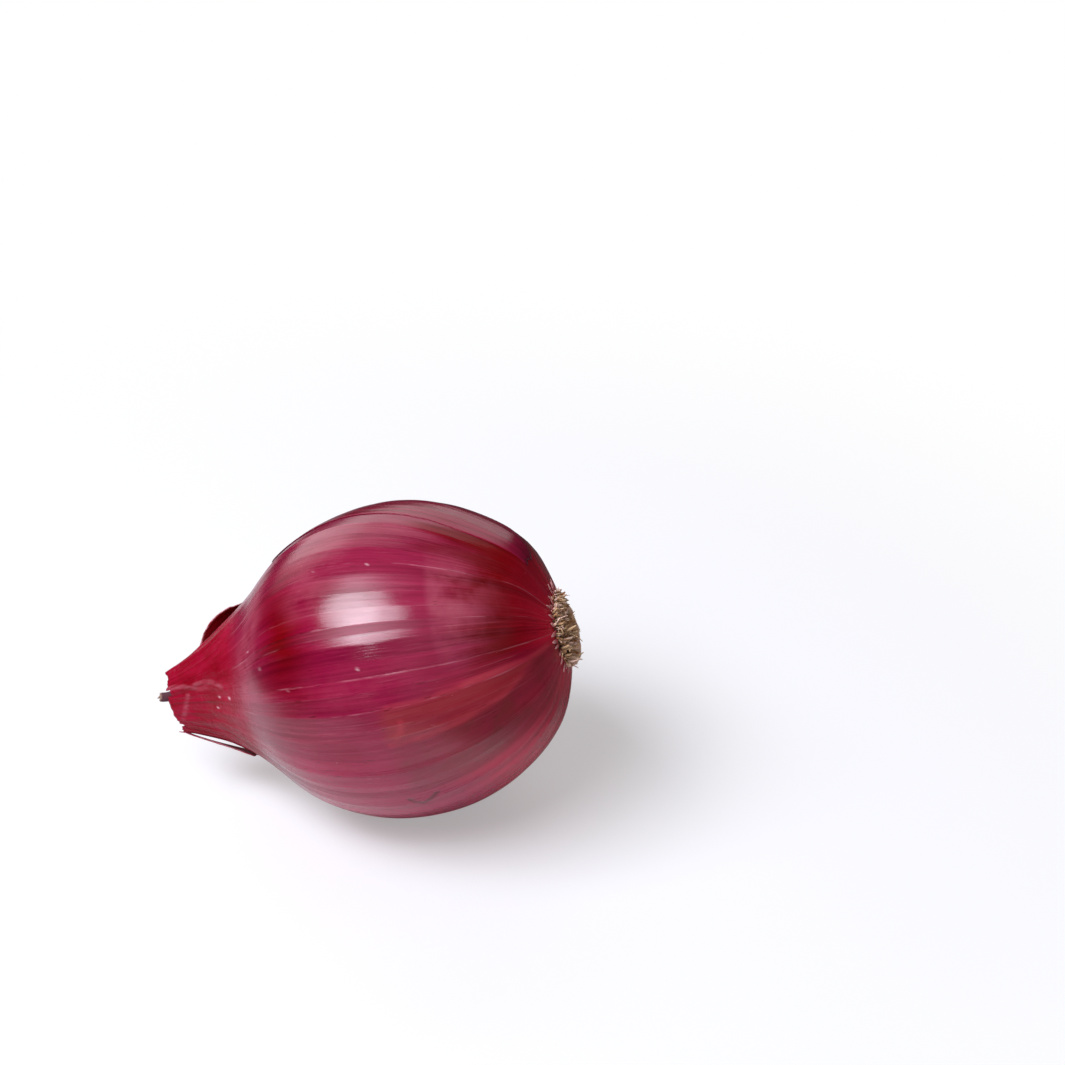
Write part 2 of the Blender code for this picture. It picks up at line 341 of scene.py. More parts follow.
def add_piece(name, mesh, material, replaced=()):
    """A visible piece that rides the onion. Its mesh is in the onion's own frame."""
    mesh.transform(ONION_AXIS)
    mesh.materials.append(material)
    piece = bpy.data.objects.new(name, mesh)
    bpy.context.scene.collection.objects.link(piece)
    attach(piece, "root")
    if replaced:
        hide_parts(*replaced)
    return piece


def thicken(piece, thickness):
    """Makes a closed sheet of a single surface, by half its thickness to each side."""
    solid = piece.modifiers.new("thickness", "SOLIDIFY")
    solid.thickness = thickness
    solid.offset = 0.0


# ------------------------ material building blocks


class Nodes:
    """Short calls that add nodes to a tree. Inputs are numbers, colours or other nodes' outputs."""

    def __init__(self, tree):
        self.tree = tree
        self.tree.nodes.clear()

    def add(self, kind, inputs, **settings):
        node = self.tree.nodes.new(kind)
        for key, value in settings.items():
            setattr(node, key, value)
        for key, value in inputs.items():
            if isinstance(value, bpy.types.NodeSocket):
                self.tree.links.new(value, node.inputs[key])
            else:
                node.inputs[key].default_value = value
        return node
    def value(self, name):
        return self.add("ShaderNodeAttribute", {}, attribute_name=name).outputs["Fac"]

    def vector(self, name):
        return self.add("ShaderNodeAttribute", {}, attribute_name=name).outputs["Vector"]

    def place(self):
        return self.add("ShaderNodeTexCoord", {}).outputs["Object"]

    def math(self, operation, first, second=0.0):
        return self.add("ShaderNodeMath", {0: first, 1: second}, operation=operation).outputs[0]

    def total(self, *values):
        result = values[0]
        for value in values[1:]:
            result = self.math("ADD", result, value)
        return result

    def times(self, *values):
        result = values[0]
        for value in values[1:]:
            result = self.math("MULTIPLY", result, value)
        return result

    def most(self, *values):
        result = values[0]
        for value in values[1:]:
            result = self.math("MAXIMUM", result, value)
        return result

    def step(self, value, low, high, start=0.0, end=1.0):
        """start below low, end above high, and smooth between them."""
        inputs = {"Value": value, 1: low, 2: high, 3: start, 4: end}
        if low > high:
            inputs = {"Value": value, 1: high, 2: low, 3: end, 4: start}
        node = self.add("ShaderNodeMapRange", inputs, interpolation_type="SMOOTHSTEP")
        return node.outputs[0]

    def mix(self, share, first, second):
        node = self.add("ShaderNodeMix", {0: share, 6: colour(first), 7: colour(second)}, data_type="RGBA")
        return node.outputs[2]

    def noise(self, vector, across, along=None, detail=2.0, roughness=0.5, shift=0.0):
        """Noise from 0 to 1 with features across wide, and along long in local Z."""
        along = along or across
        scale = (1 / across, 1 / across, 1 / along)
        scaled = self.add("ShaderNodeVectorMath", {0: vector, 1: scale}, operation="MULTIPLY")
        moved = self.add("ShaderNodeVectorMath", {0: scaled.outputs[0], 1: (shift, shift, shift)})
        inputs = {"Vector": moved.outputs[0], "Scale": 1.0, "Detail": detail, "Roughness": roughness}
        return self.add("ShaderNodeTexNoise", inputs).outputs[0]

    def bump(self, height, distance):
        return self.add("ShaderNodeBump", {"Height": height, "Distance": distance}).outputs[0]


class Look(Nodes):
    """A material with one shader."""

    def __init__(self, name):
        self.material = bpy.data.materials.new(name)
        self.material.use_nodes = True
        super().__init__(self.material.node_tree)

    def finish(self, inputs):
        shader = self.add("ShaderNodeBsdfPrincipled", inputs)
        self.add("ShaderNodeOutputMaterial", {"Surface": shader.outputs[0]})
        return self.material
def colour(value):
    """A colour as four numbers, or an output as it is."""
    if isinstance(value, bpy.types.NodeSocket):
        return value
    return (*value, 1.0)


# ------------------------ materials

# Colours of the bulb's skin
MAGENTA = (0.270, 0.0035, 0.042)
PLUM = (0.150, 0.0010, 0.022)
# BLOOD is partly painted shade: near the root end it stands for the shade of onions beside this one
BLOOD = (0.165, 0.0006, 0.0012)
DEEP_BLOOD = (0.075, 0.0004, 0.0006)
CRIMSON = (0.31, 0.0035, 0.027)
DEEP_CRIMSON = (0.19, 0.0010, 0.007)
PALE_PINK = (0.50, 0.16, 0.21)
# ROSE: the colour of the painted sheen, and of the pale dashes
ROSE = (0.33, 0.050, 0.085)
SPECK = (0.75, 0.45, 0.50)
# Painted light from the floor, on the side that faces down
FLOOR_LIT_MAGENTA = (0.42, 0.006, 0.070)
FLOOR_LIT_PLUM = (0.30, 0.003, 0.045)
TAN_PINK = (0.28, 0.026, 0.030)
# Painted light: the brighter red round the root end and low on the root's half
LIT_ROOT_RED = (0.80, 0.016, 0.060)
DEEP_LIT_ROOT_RED = (0.42, 0.005, 0.022)
FOLD_RED = (0.50, 0.040, 0.062)
DULL_BROWN = (0.165, 0.018, 0.021)
DULL_PLUM = (0.215, 0.012, 0.030)

# Light, dark and torn-edge colours of the thin layers
FAR_SKIN = ((0.26, 0.004, 0.036), (0.12, 0.001, 0.011), (0.12, 0.004, 0.012))
BACK_FLAP = ((0.36, 0.007, 0.018), (0.18, 0.002, 0.005), (0.62, 0.30, 0.34))
DRY_LEAF = ((0.20, 0.075, 0.095), (0.035, 0.008, 0.014), (0.70, 0.48, 0.34))
COLLAR_RED, COLLAR_PINK = (0.30, 0.008, 0.016), (0.60, 0.075, 0.100)
COLLAR_TIP, COLLAR_DARK = (0.72, 0.32, 0.32), (0.16, 0.012, 0.016)

# Colours of the root end
STRAW_BROWN, STRAW = (0.32, 0.125, 0.045), (0.95, 0.68, 0.41)
STRAW_PINK, STRAW_STAIN = (0.80, 0.52, 0.42), (0.13, 0.055, 0.025)
ROOT_FOOT = (0.050, 0.017, 0.007)
DARK_CORK, CORK = (0.022, 0.008, 0.003), (0.17, 0.075, 0.035)


def streaks(look, flow):
    """Fine and middling streaks that run along the veins, each from 0 to 1."""
    fine = look.noise(flow, 0.42 * MM, 15 * MM, 3, 0.6, 3.1)
    middling = look.noise(flow, 1.5 * MM, 32 * MM, 2, 0.5, 7.3)
    return fine, middling


def bulb_colour(look, fine, middling, blotch):
    """The zones painted on the bulb, each streaked by depth, from 0 where it is dark to 1."""
    depth = look.total(
        look.times(look.value("strip"), 0.5),
        look.times(middling, 0.5),
        look.times(look.math("SUBTRACT", fine, 0.5), 0.75),
    )
    depth = look.step(depth, 0.18, 0.88)
    magenta = look.mix(depth, PLUM, MAGENTA)
    # blood red, which near the root end in front and on top is painted shade
    blood = look.mix(depth, DEEP_BLOOD, BLOOD)
    base = look.mix(look.value("red"), magenta, blood)
    # painted light: the side that faces down is painted rosier, as lit from the floor
    lit_from_below = look.mix(depth, FLOOR_LIT_PLUM, FLOOR_LIT_MAGENTA)
    base = look.mix(look.times(look.value("under"), 0.7), base, lit_from_below)
    # painted light: brighter red round the root end
    lit_root_red = look.mix(depth, DEEP_LIT_ROOT_RED, LIT_ROOT_RED)
    base = look.mix(look.times(look.value("painted_root_light"), 0.85), base, lit_root_red)
    dull = look.mix(look.step(blotch, 0.35, 0.65), DULL_BROWN, DULL_PLUM)
    base = look.mix(look.value("dull"), base, dull)
    tan_streaks = look.step(look.math("ADD", middling, fine), 0.6, 1.3, 0.5, 1.0)
    base = look.mix(look.times(look.value("tan"), tan_streaks), base, TAN_PINK)
    return look.mix(look.times(look.value("fold"), 0.6), base, FOLD_RED)


def neck_colour(look, fine, middling, blotch):
    """Crimson, darker in patches and streaks."""
    depth = look.total(look.times(fine, 0.45), look.times(blotch, 0.9), look.times(middling, 0.3))
    return look.mix(look.step(depth, 0.50, 1.15), DEEP_CRIMSON, CRIMSON)


def pale_veins(look, flow):
    """The share of pale pink along the strong veins, which are broken here and there."""
    broken = look.step(look.noise(flow, 1.2 * MM, 9 * MM, 3, 0.6, 5.7), 0.44, 0.68)
    vein = look.times(look.step(look.value("vein"), 0.24, 0.04), broken, look.value("vein_strength"))
    return look.times(vein, look.step(look.value("neck"), 0, 1, 1.0, 0.0))


def small_marks(look, base, flow, place, vein):
    """Lays the veins, dark dashes, specks, creases and the crescent scar over a colour."""
    base = look.mix(look.times(vein, 0.5), base, PALE_PINK)
    dark_dash = look.step(look.noise(flow, 0.30 * MM, 2.6 * MM, 1, 0.5, 12.0), 0.66, 0.74)
    dark_dash = look.times(dark_dash, look.step(look.value("vein"), 1.2, 0.3))
    base = look.mix(look.times(dark_dash, 0.6), base, DEEP_BLOOD)
    base = look.mix(look.times(look.value("mark"), 0.75), base, SPECK)
    base = look.mix(look.times(look.value("crease"), 0.34), base, PALE_PINK)
    # dark red along the scar: its own dark line and painted shade in its crease
    base = look.mix(look.times(look.value("crack"), 0.9), base, DEEP_BLOOD)
    speck = look.step(look.noise(place, 0.8 * MM, None, 1, 0.5, 9.0), 0.80, 0.84)
    return look.mix(look.times(speck, 0.5), base, PALE_PINK)


def skin_relief(look, fine, middling, place, vein):
    """Height of the fine grooves, the veins, the scar, and the neck's wrinkles."""
    grain = look.noise(place, 0.35 * MM, None, 2, 0.6)
    wrinkles = look.noise(place, 1.8 * MM, None, 4, 0.6, 21.0)
    return look.total(
        look.times(fine, 0.5),
        look.times(grain, 0.12),
        look.times(middling, 0.6),
        look.times(vein, 0.5),
        look.times(look.value("crack"), -1.2),
        look.times(look.value("crease"), 1.5),
        look.times(wrinkles, look.value("neck"), 6.0),
    )


def skin_material():
    """Glossy red skin: strips of differing red between the veins, with fine streaks along them."""
    look = Look("onion_skin")
    flow = look.vector("flow")
    place = look.place()
    neck = look.value("neck")
    fine, middling = streaks(look, flow)
    blotch = look.noise(place, 5 * MM, None, 3, 0.55)

    bulb = bulb_colour(look, fine, middling, blotch)
    base = look.mix(neck, bulb, neck_colour(look, fine, middling, blotch))
    # painted sheen: a pale rose reflection mixed into the colour in clouds
    cloud = look.step(look.math("ADD", blotch, look.times(fine, 0.5)), 0.38, 0.98)
    painted_sheen_share = look.times(look.value("painted_sheen"), cloud)
    base = look.mix(painted_sheen_share, base, ROSE)
    pale_dash = look.step(look.noise(flow, 0.55 * MM, 7 * MM, 3, 0.6, 31.0), 0.55, 0.75)
    not_red = look.math("SUBTRACT", 1.0, look.value("red"))
    base = look.mix(look.times(pale_dash, not_red, 0.30), base, ROSE)
    vein = pale_veins(look, flow)
    base = small_marks(look, base, flow, place, vein)

    rough = look.total(
        look.times(look.value("sheen"), 0.22),
        look.times(fine, 0.12),
        look.times(blotch, 0.07),
        look.times(painted_sheen_share, 0.10),
        look.times(neck, 0.10),
        0.02,
    )
    wax = look.math("SUBTRACT", 1.15, look.times(look.value("sheen"), 0.45))
    wax = look.times(wax, look.step(look.math("ADD", middling, fine), 0.6, 1.3, 0.78, 1.12))
    wax = look.times(wax, look.step(look.value("red"), 0, 1, 1.0, 0.25))
    shine = look.times(look.step(neck, 0, 1, 0.5, 0.08), wax)
    normal = look.bump(skin_relief(look, fine, middling, place, vein), 0.055 * MM)
    return look.finish({
        "Base Color": base, "Roughness": rough, "IOR": 1.5, "Specular IOR Level": shine, "Normal": normal})


def paper_material(name, colours, roughness=0.42, shine=0.15, depth_of_bump=0.10 * MM):
    """Dry papery skin in a light, a dark and a torn-edge colour, with streaks along it."""
    light, dark, edge = colours
    look = Look(name)
    flow = look.vector("flow")
    fine, middling = streaks(look, flow)
    depth = look.step(look.math("ADD", look.times(fine, 0.6), look.times(middling, 0.7)), 0.35, 0.95)
    base = look.mix(depth, dark, light)
    torn = look.step(look.value("edge"), 0.55, 0.05)
    torn = look.times(torn, look.step(look.noise(flow, 0.8 * MM, 2 * MM, 2, 0.5, 2.0), 0.35, 0.6))
    base = look.mix(look.times(torn, 0.8), base, edge)
    rough = look.math("ADD", look.times(fine, 0.25), roughness - 0.12)
    normal = look.bump(look.math("ADD", fine, middling), depth_of_bump)
    return look.finish({
        "Base Color": base, "Roughness": rough, "IOR": 1.45, "Specular IOR Level": shine, "Normal": normal})
def root_material():
    """Dry root stubs, straw to pinkish brown, darker at their feet."""
    look = Look("root_straw")
    place = look.place()
    fine = look.noise(place, 0.25 * MM, 0.8 * MM, 2, 0.6)
    base = look.mix(look.value("shade"), STRAW_BROWN, STRAW)
    base = look.mix(look.step(look.value("shade"), 0.55, 0.8), base, STRAW_PINK)
    base = look.mix(look.step(look.value("along"), 0.48, 0.0), base, ROOT_FOOT)
    base = look.mix(look.step(fine, 0.5, 0.8, 0.0, 0.6), base, STRAW_STAIN)
    normal = look.bump(fine, 0.08 * MM)
    return look.finish({"Base Color": base, "Roughness": 0.75, "IOR": 1.4, "Normal": normal})


def cork_material():
    """The crumbly brown disc that the roots grow from."""
    look = Look("basal_cork")
    place = look.place()
    crumbs = look.noise(place, 0.5 * MM, None, 3, 0.65)
    base = look.mix(look.step(crumbs, 0.35, 0.65), DARK_CORK, CORK)
    normal = look.bump(crumbs, 0.5 * MM)
    return look.finish({"Base Color": base, "Roughness": 0.85, "IOR": 1.4, "Normal": normal})


def collar_material():
    """Torn red skin that pales towards its points."""
    look = Look("torn_collar")
    fine = look.noise(look.place(), 0.3 * MM, None, 2, 0.6)
    base = look.mix(look.value("shade"), COLLAR_RED, COLLAR_PINK)
    base = look.mix(look.step(look.value("along"), 0.2, 0.8), base, COLLAR_TIP)
    base = look.mix(look.times(look.step(fine, 0.45, 0.7), 0.5), base, COLLAR_DARK)
    normal = look.bump(fine, 0.08 * MM)
    return look.finish({"Base Color": base, "Roughness": 0.6, "IOR": 1.45, "Normal": normal})


# ------------------------ the outer skin


def skin_columns(spacing):
    """Angles for the columns of a mesh right round the onion, with one on each vein."""
    columns = []
    for start, end in zip(VEIN_EDGES[:-1], VEIN_EDGES[1:]):
        count = max(2, round((end - start) / spacing))
        columns += [start + (end - start) * i / count for i in range(count)]
    return np.array(columns)


def neck_edge(angle):
    """Height of the neck's torn end at each angle."""
    torn = 0.55 * MM * around_noise(angle, 0, 30 * MM, 1.0, 61)
    torn = torn + 0.42 * MM * around_noise(angle, 0, 7 * MM, 1.0, 67)
    nicks = -1.3 * MM * smooth_step(0.25, 0.45, around_noise(angle, 0, 12 * MM, 1.0, 63))
    slant = 1.0 * bell(turned(angle + 72), 0, 38)
    slant = slant + 0.4 * bell(turned(angle + 135), 0, 25) - 0.7 * bell(turned(angle - 12), 0, 40)
    return NECK_END - 0.5 * MM + torn + nicks + slant * MM


# How far down inside the torn end each inner ring lies, and how far in from the skin's outside
INNER_RINGS = ((0.0, 0.16 * MM), (0.4 * MM, 0.32 * MM), (3 * MM, 0.5 * MM), (7 * MM, 0.7 * MM))
# The share of its size and how far in each ring lies that turns the skin in at the root end
HEM_RINGS = ((0.90, 1.0 * MM), (0.975, 0.1 * MM))


def outer_skin():
    """The skin all round the bulb and the neck, with a fold inwards at each end."""
    columns = skin_columns(0.67)
    top = neck_edge(columns)
    heights = np.concatenate([
        SEAT + (6 * MM - SEAT) * np.linspace(0, 1, 14)[:-1],
        np.linspace(6 * MM, SHOULDER, 92)[:-1],
    ])
    neck_share = np.linspace(0, 1, 52)[:, None]
    bulb_rows = np.broadcast_to(heights[:, None], (len(heights), len(columns)))
    height = np.concatenate([bulb_rows, SHOULDER + neck_share * (top - SHOULDER)])
    angle = np.broadcast_to(columns, height.shape)

    hem = surface(columns, np.full(len(columns), SEAT))
    hem_rings = [settled(hem * (size, size, 1) + (0, 0, rise)) for size, rise in HEM_RINGS]
    inner_rings = [surface(columns, top - drop, -thin) for drop, thin in INNER_RINGS]
    points = np.concatenate([np.stack(hem_rings), surface(angle, height), np.stack(inner_rings)])
    inner_heights = np.stack([top - drop for drop, thin in INNER_RINGS])
    height = np.concatenate([height[:1], height[:1], height, inner_heights])
    angle = np.broadcast_to(columns, height.shape)
    mesh = grid_mesh("outer_skin", points, wrap=True)
    paint_skin(mesh, angle, height)
    replaced = ["bulb", "neck_skin_front", "neck_skin_back"]
    add_piece("outer_skin", mesh, skin_material(), replaced)


# Lines and marks that the photo shows, as millimetres from the root end and the angle round the onion
SCAR = [(35.4, -116.5), (34.6, -119.6), (33.2, -121.4), (31.5, -119.7), (29.7, -116.8)]
FOLDS = [
    [(34.2, -87.5), (25.9, -87.4), (20.5, -86.8), (15.6, -86.0), (11.0, -83.9), (7.4, -78.5), (4.9, -74.4)],
    [(33.0, -73.4), (24.0, -73.4), (15.8, -72.2), (10.2, -71.5), (5.0, -72.5), (2.4, -71.5)],
    [(33.1, -86.3), (31.5, -83.5), (31.0, -79.6)],
]
CREASES = [
    [(83.4, -33), (81, -36), (79, -41), (77.3, -47), (75.5, -50), (73.5, -50)],
    [(78.6, -56), (79.4, -66), (80.2, -78), (81.2, -92), (82.0, -104)],
    [(76.0, -44), (73.5, -44), (71.5, -47), (69.5, -53)],
]
MARKS = [
    # height, angle and radius (mm)
    (44.1, -16.5, 0.3),
    (32.6, -20, 0.34),
    (72.2, -74.9, 0.3),
    (36.6, -57.9, 0.28),
    (61.3, -35.7, 0.4),
    (58.5, -48.4, 0.4),
    (68.3, -63.5, 0.42),
    (70.8, -62.6, 0.36),
    (52.5, -61.0, 0.3),
    (25.5, -84.0, 0.35),
]
def line_distance(points, line):
    """Distance from each point to a line through a few places of the skin."""
    ends = surface_at([p[1] for p in line], np.array([p[0] for p in line]) * MM)
    nearest = np.full(points.shape[:-1], 1.0)
    for start, end in zip(ends[:-1], ends[1:]):
        way = end - start
        share = np.clip(((points - start) @ way) / (way @ way), 0, 1)
        nearest = np.minimum(nearest, np.linalg.norm(points - start - share[..., None] * way, axis=-1))
    return nearest


def surface_at(true_angle, height):
    """Points of the skin at the angles where they really are, whatever the veins do."""
    true_angle, height = np.asarray(true_angle, float), np.asarray(height, float)
    angle = true_angle
    for _ in range(8):
        angle = true_angle - vein_drift(angle, height)
    return surface(angle, height)


def near_lines(points, lines, full, none):
    """1 within a distance of the nearest of the lines, and 0 past another distance."""
    share = np.zeros(points.shape[:-1])
    for line in lines:
        share = np.maximum(share, 1 - smooth_step(full, none, line_distance(points, line)))
    return share


def red_and_shade_zone(angle, height, true, mm, wander):
    """Blood red: painted shade near the root end in front and on top, own deeper red round the shoulder and
    in patches.
    """
    near_side = 1 - smooth_step(95, 150, true)
    front = (1 - smooth_step(10, 20, mm + wander)) * smooth_step(-80, -62, true + wander) * near_side
    top = 0.90 * (1 - smooth_step(13, 24, mm + 1.5 * wander)) * smooth_step(-30, -5, true) * near_side
    shoulder = 0.95 * bell(mm + 0.5 * wander, 52, 6) * bell(true, -40, 32)
    patches = 0.30 * smooth_step(0.1, 0.7, around_noise(angle, height, 12 * MM, 22 * MM, 79))
    return np.clip(np.maximum.reduce([front, top, shoulder, patches]), 0, 1)


def painted_sheen_zone(angle, height, true, mm):
    """Painted sheen, pale reflection laid on as colour: a patch right of the highlight, and a ring at the
    shoulder.
    """
    patch = 0.95 * bell(mm, 17, 6.5) * bell(true, -38, 20) * smooth_step(22.3, 20.8, mm)
    clouds = 0.35 * smooth_step(0.25, 0.9, around_noise(angle, height, 15 * MM, 25 * MM, 83))
    middle = 0.25 * bell(true, -66, 10) * bell(mm, 37, 13)
    body = np.maximum.reduce([patch, clouds, middle]) * (1 - smooth_step(48, 54, mm))
    ring = 0.85 * bell(mm + 0.10 * (true + 38), 62.0, 2.8) * bell(true, -40, 60)
    return np.maximum(body, ring)


def painted_root_light_zone(true, mm, wander):
    """Painted light: brighter red round the root end and in the lower part of the root's half, which face
    away from the lamps.
    """
    rim = bell(mm, 1, 4.5) * (1 - 0.3 * bell(true, 0, 50))
    low = np.maximum(smooth_step(-62, -82, true), smooth_step(120, 160, true))
    return np.clip(np.maximum(rim, 0.55 * (1 - smooth_step(12, 30, mm + wander)) * low), 0, 1)


def painted_floor_light_zone(true, mm):
    """The side that faces down, painted rosier: painted light bounced up from the floor."""
    below = smooth_step(-72, -110, true) * (true < 60) + smooth_step(150, 175, true)
    return np.clip(below, 0, 1) * smooth_step(3, 14, mm) * (1 - smooth_step(52, 60, mm))


def tan_zone(true, mm, wander, border):
    """The tan patch above a slanting border, and a fainter one under the root end."""
    patch = smooth_step(border - 1.5, border + 1.5, true) * (1 - smooth_step(-76, -72, true + 0.25 * wander))
    patch = patch * 0.8 * smooth_step(36, 32.5, mm + 0.5 * wander)
    return np.maximum(patch, 0.5 * bell(mm, 4.5, 3) * bell(true, -128, 20))


def dull_zone(true, mm, wander, border):
    """Brownish skin below that border."""
    zone = smooth_step(border + 1.5, border - 1.5, true) * smooth_step(-119, -104, true)
    zone = zone * smooth_step(37, 31, mm + 0.6 * wander) * (0.55 + 0.35 * bell(mm, 15, 7))
    return np.maximum(zone, 0.6 * bell(mm, 32, 3.5) * bell(true, -97, 7))


def paint_zones(mesh, angle, height):
    """Paints the broad zones of colour, among them painted light, painted sheen and painted shade. true is
    the angle where a point really is.
    """
    true = turned(angle + vein_drift(angle, height))
    mm = height / MM
    wander = 3.5 * around_noise(angle, height, 2.2 * MM, 60 * MM, 71)
    wander = wander + 2.5 * around_noise(angle, height, 9 * MM, 40 * MM, 73)
    border = -86 + 14 * smooth_step(12, 4, mm) + 0.35 * wander
    paint(mesh, "red", red_and_shade_zone(angle, height, true, mm, wander))
    paint(mesh, "painted_sheen", painted_sheen_zone(angle, height, true, mm))
    paint(mesh, "painted_root_light", painted_root_light_zone(true, mm, wander))
    paint(mesh, "under", painted_floor_light_zone(true, mm))
    paint(mesh, "tan", tan_zone(true, mm, wander, border))
    paint(mesh, "dull", dull_zone(true, mm, wander, border))
    paint(mesh, "neck", smooth_step(SHOULDER + 1 * MM, SHOULDER + 7 * MM, height))


def paint_marks(mesh, points, angle, height):
    """Paints the scar, folds, creases and specks."""
    scar = near_lines(points, [SCAR], 0.25 * MM, 0.65 * MM)
    scar *= 0.8 + 0.2 * around_noise(angle, height, 1.2 * MM, 1.5 * MM, 89)
    fold = near_lines(points, FOLDS, 0.15 * MM, 1.0 * MM)
    fold *= 0.55 + 0.45 * around_noise(angle, height, 2.5 * MM, 4 * MM, 103)
    crease = near_lines(points, CREASES, 0.15 * MM, 0.75 * MM)
    crease *= 0.55 + 0.45 * around_noise(angle, height, 1.5 * MM, 1.5 * MM, 97)
    mark = np.zeros(angle.shape)
    for place_height, place_angle, radius in MARKS:
        place = surface_at([place_angle], [place_height * MM])[0]
        distance = np.linalg.norm(points - place, axis=-1)
        mark = np.maximum(mark, 1 - smooth_step(0.3 * radius * MM, radius * MM, distance))
    paint(mesh, "crack", np.clip(scar, 0, 1))
    paint(mesh, "fold", np.clip(fold, 0, 1))
    paint(mesh, "crease", np.clip(crease, 0, 1))
    paint(mesh, "mark", mark)


def paint_strips(mesh, angle, height):
    """Paints each strip's brightness and gloss on its faces, and the distance to the nearest vein."""
    index, share = strip_place(angle)
    radius = np.maximum(bulb_radius(height), 4 * MM)
    gap = np.minimum(share, 1 - share) * np.radians(np.diff(VEIN_EDGES)[index]) * radius
    paint(mesh, "vein", gap / MM)
    strength = strip_values(0.0, 0.8, 5) ** 3
    strength[[FRONT_VEINS.index(vein) for vein in STRONG_VEINS]] = 1
    nearer = np.where(share < 0.5, index, (index + 1) % len(VEINS))
    paint(mesh, "vein_strength", strength[nearer])

    centre = (angle[:-1] + np.roll(angle[:-1], -1, axis=1)) / 2
    centre[:, -1] = (angle[0, -1] + angle[0, 0] + 360) / 2
    face_strip = strip_place(centre)[0]
    brightness, dullness = strip_values(0.2, 0.9, 7), strip_values(0.1, 0.8, 9)
    brightness[: len(FRONT_STRIPS)] = [strip[1] for strip in FRONT_STRIPS]
    dullness[: len(FRONT_STRIPS)] = [strip[2] for strip in FRONT_STRIPS]
    paint(mesh, "strip", brightness[face_strip], "FACE")
    paint(mesh, "sheen", dullness[face_strip], "FACE")


def paint_skin(mesh, angle, height):
    """Stores what the skin's material needs to know at each point."""
    points = np.array([v.co for v in mesh.vertices]).reshape(*angle.shape, 3)
    paint_flow(mesh, angle, height)
    paint_strips(mesh, angle, height)
    paint_zones(mesh, angle, height)
    paint_marks(mesh, points, angle, height)
# ------------------------ loose layers of skin


def sheet_points(angles, low, high, lift, rows, columns, tear, tear_width, taper, seed):
    """A patch of skin between two angles and two heights, with torn edges.

    low and lift are functions of the shares across and along. tear is how ragged the low and high
    edges are, in metres, and the first and last, in degrees. taper narrows the high end.
    """
    across, along = np.meshgrid(np.linspace(0, 1, columns), np.linspace(0, 1, rows))
    middle = angles[0] + (angles[1] - angles[0]) * across
    start = low(across) + tear[0] * around_noise(middle, 0, tear_width, 1.0, seed, 4)
    end = high + tear[1] * around_noise(middle, 0, tear_width, 1.0, seed + 5, 4)
    height = start + (end - start) * along
    first = tear[2] * value_noise(height / (3 * MM), 0.5, 0.5, seed + 9)
    last = tear[3] * value_noise(height / (3 * MM), 7.5, 0.5, seed + 11)
    centre = (angles[0] + angles[1]) / 2
    angle = centre + (middle - centre) * (1 - taper * along) + first * (1 - across) + last * across
    points = surface(angle, height, lift(across, along))
    return points, angle, height, along
def edge_distance(points):
    """Each point's distance, in millimetres, to the nearest side of its grid, along the grid."""
    def run(axis):
        steps = np.linalg.norm(np.diff(points, axis=axis), axis=-1)
        zero = np.zeros_like(np.take(steps, [0], axis=axis))
        there = np.cumsum(np.concatenate([zero, steps], axis=axis), axis=axis)
        return np.minimum(there, np.take(there, [-1], axis=axis) - there)
    return np.minimum(run(0), run(1)) / MM


def add_sheet(name, shape, material, thickness, replaced=(), plain_below=-1.0):
    """A loose sheet of skin. Its edge has no colour of its own below a share of its length."""
    points, angle, height, along = shape
    mesh = grid_mesh(name, points)
    paint_flow(mesh, angle, height)
    plain = 1 - smooth_step(plain_below, plain_below + 0.3, along)
    paint(mesh, "edge", edge_distance(points) + plain)
    thicken(add_piece(name, mesh, material, replaced), thickness)


def far_layer(material):
    """The layer of skin over the far side. Its front edge is a thin line along the top."""
    def lift(across, along):
        return 0.02 * MM + 0.09 * MM * smooth_step(0.2, 0.7, along) + 0.1 * MM * bell(along, 1, 0.06)

    def low(across):
        return (5 + 15 * smooth_step(0.02, 0.6, across)) * MM

    tear = (1.4 * MM, 3.0 * MM, 0.8, 3.0)
    shape = sheet_points((4, 150), low, 56 * MM, lift, 120, 200, tear, 14 * MM, 0.0, 221)
    add_sheet("far_layer", shape, material, 0.10 * MM, plain_below=0.35)


def under_flap(material):
    """A strip of skin that arches away from the underside of the neck and leaves a gap."""
    def lift(across, along):
        return 0.12 * MM + 0.95 * MM * np.sin(np.pi * np.clip(0.13 + 0.95 * along, 0, 1)) ** 0.8

    def low(across):
        return 69.0 * MM

    tear = (0.3 * MM, 0.6 * MM, 1.0, 1.0)
    shape = sheet_points((-168, -142), low, 83.4 * MM, lift, 50, 24, tear, 5 * MM, 0.55, 241)
    add_sheet("neck_flap_under", shape, material, 0.16 * MM, ["skin_flap_under"])


def back_flap(material):
    """A torn layer of skin on the far side of the neck, whose front edge stands off it."""
    def lift(across, along):
        return 0.15 * MM + 2.5 * MM * (1 - across) ** 1.5 * np.sin(np.pi * (0.22 + 0.60 * along))

    def low(across):
        return SHOULDER + (5.0 - 6 * across) * MM

    tear = (0.8 * MM, 1.4 * MM, 1.5, 4.0)
    shape = sheet_points((24, 96), low, 75.5 * MM, lift, 50, 60, tear, 6 * MM, 0.35, 261)
    add_sheet("neck_flap_back", shape, material, 0.2 * MM, ["skin_flap_back"])


INNER_LEAVES = [
    # share of the neck's size, how far short of its end it stops, seed
    (0.80, 1.2 * MM, 301),
    (0.55, 0.6 * MM, 311),
    (0.28, 1.6 * MM, 321),
]
INNER_LEAF_LENGTH = 9 * MM


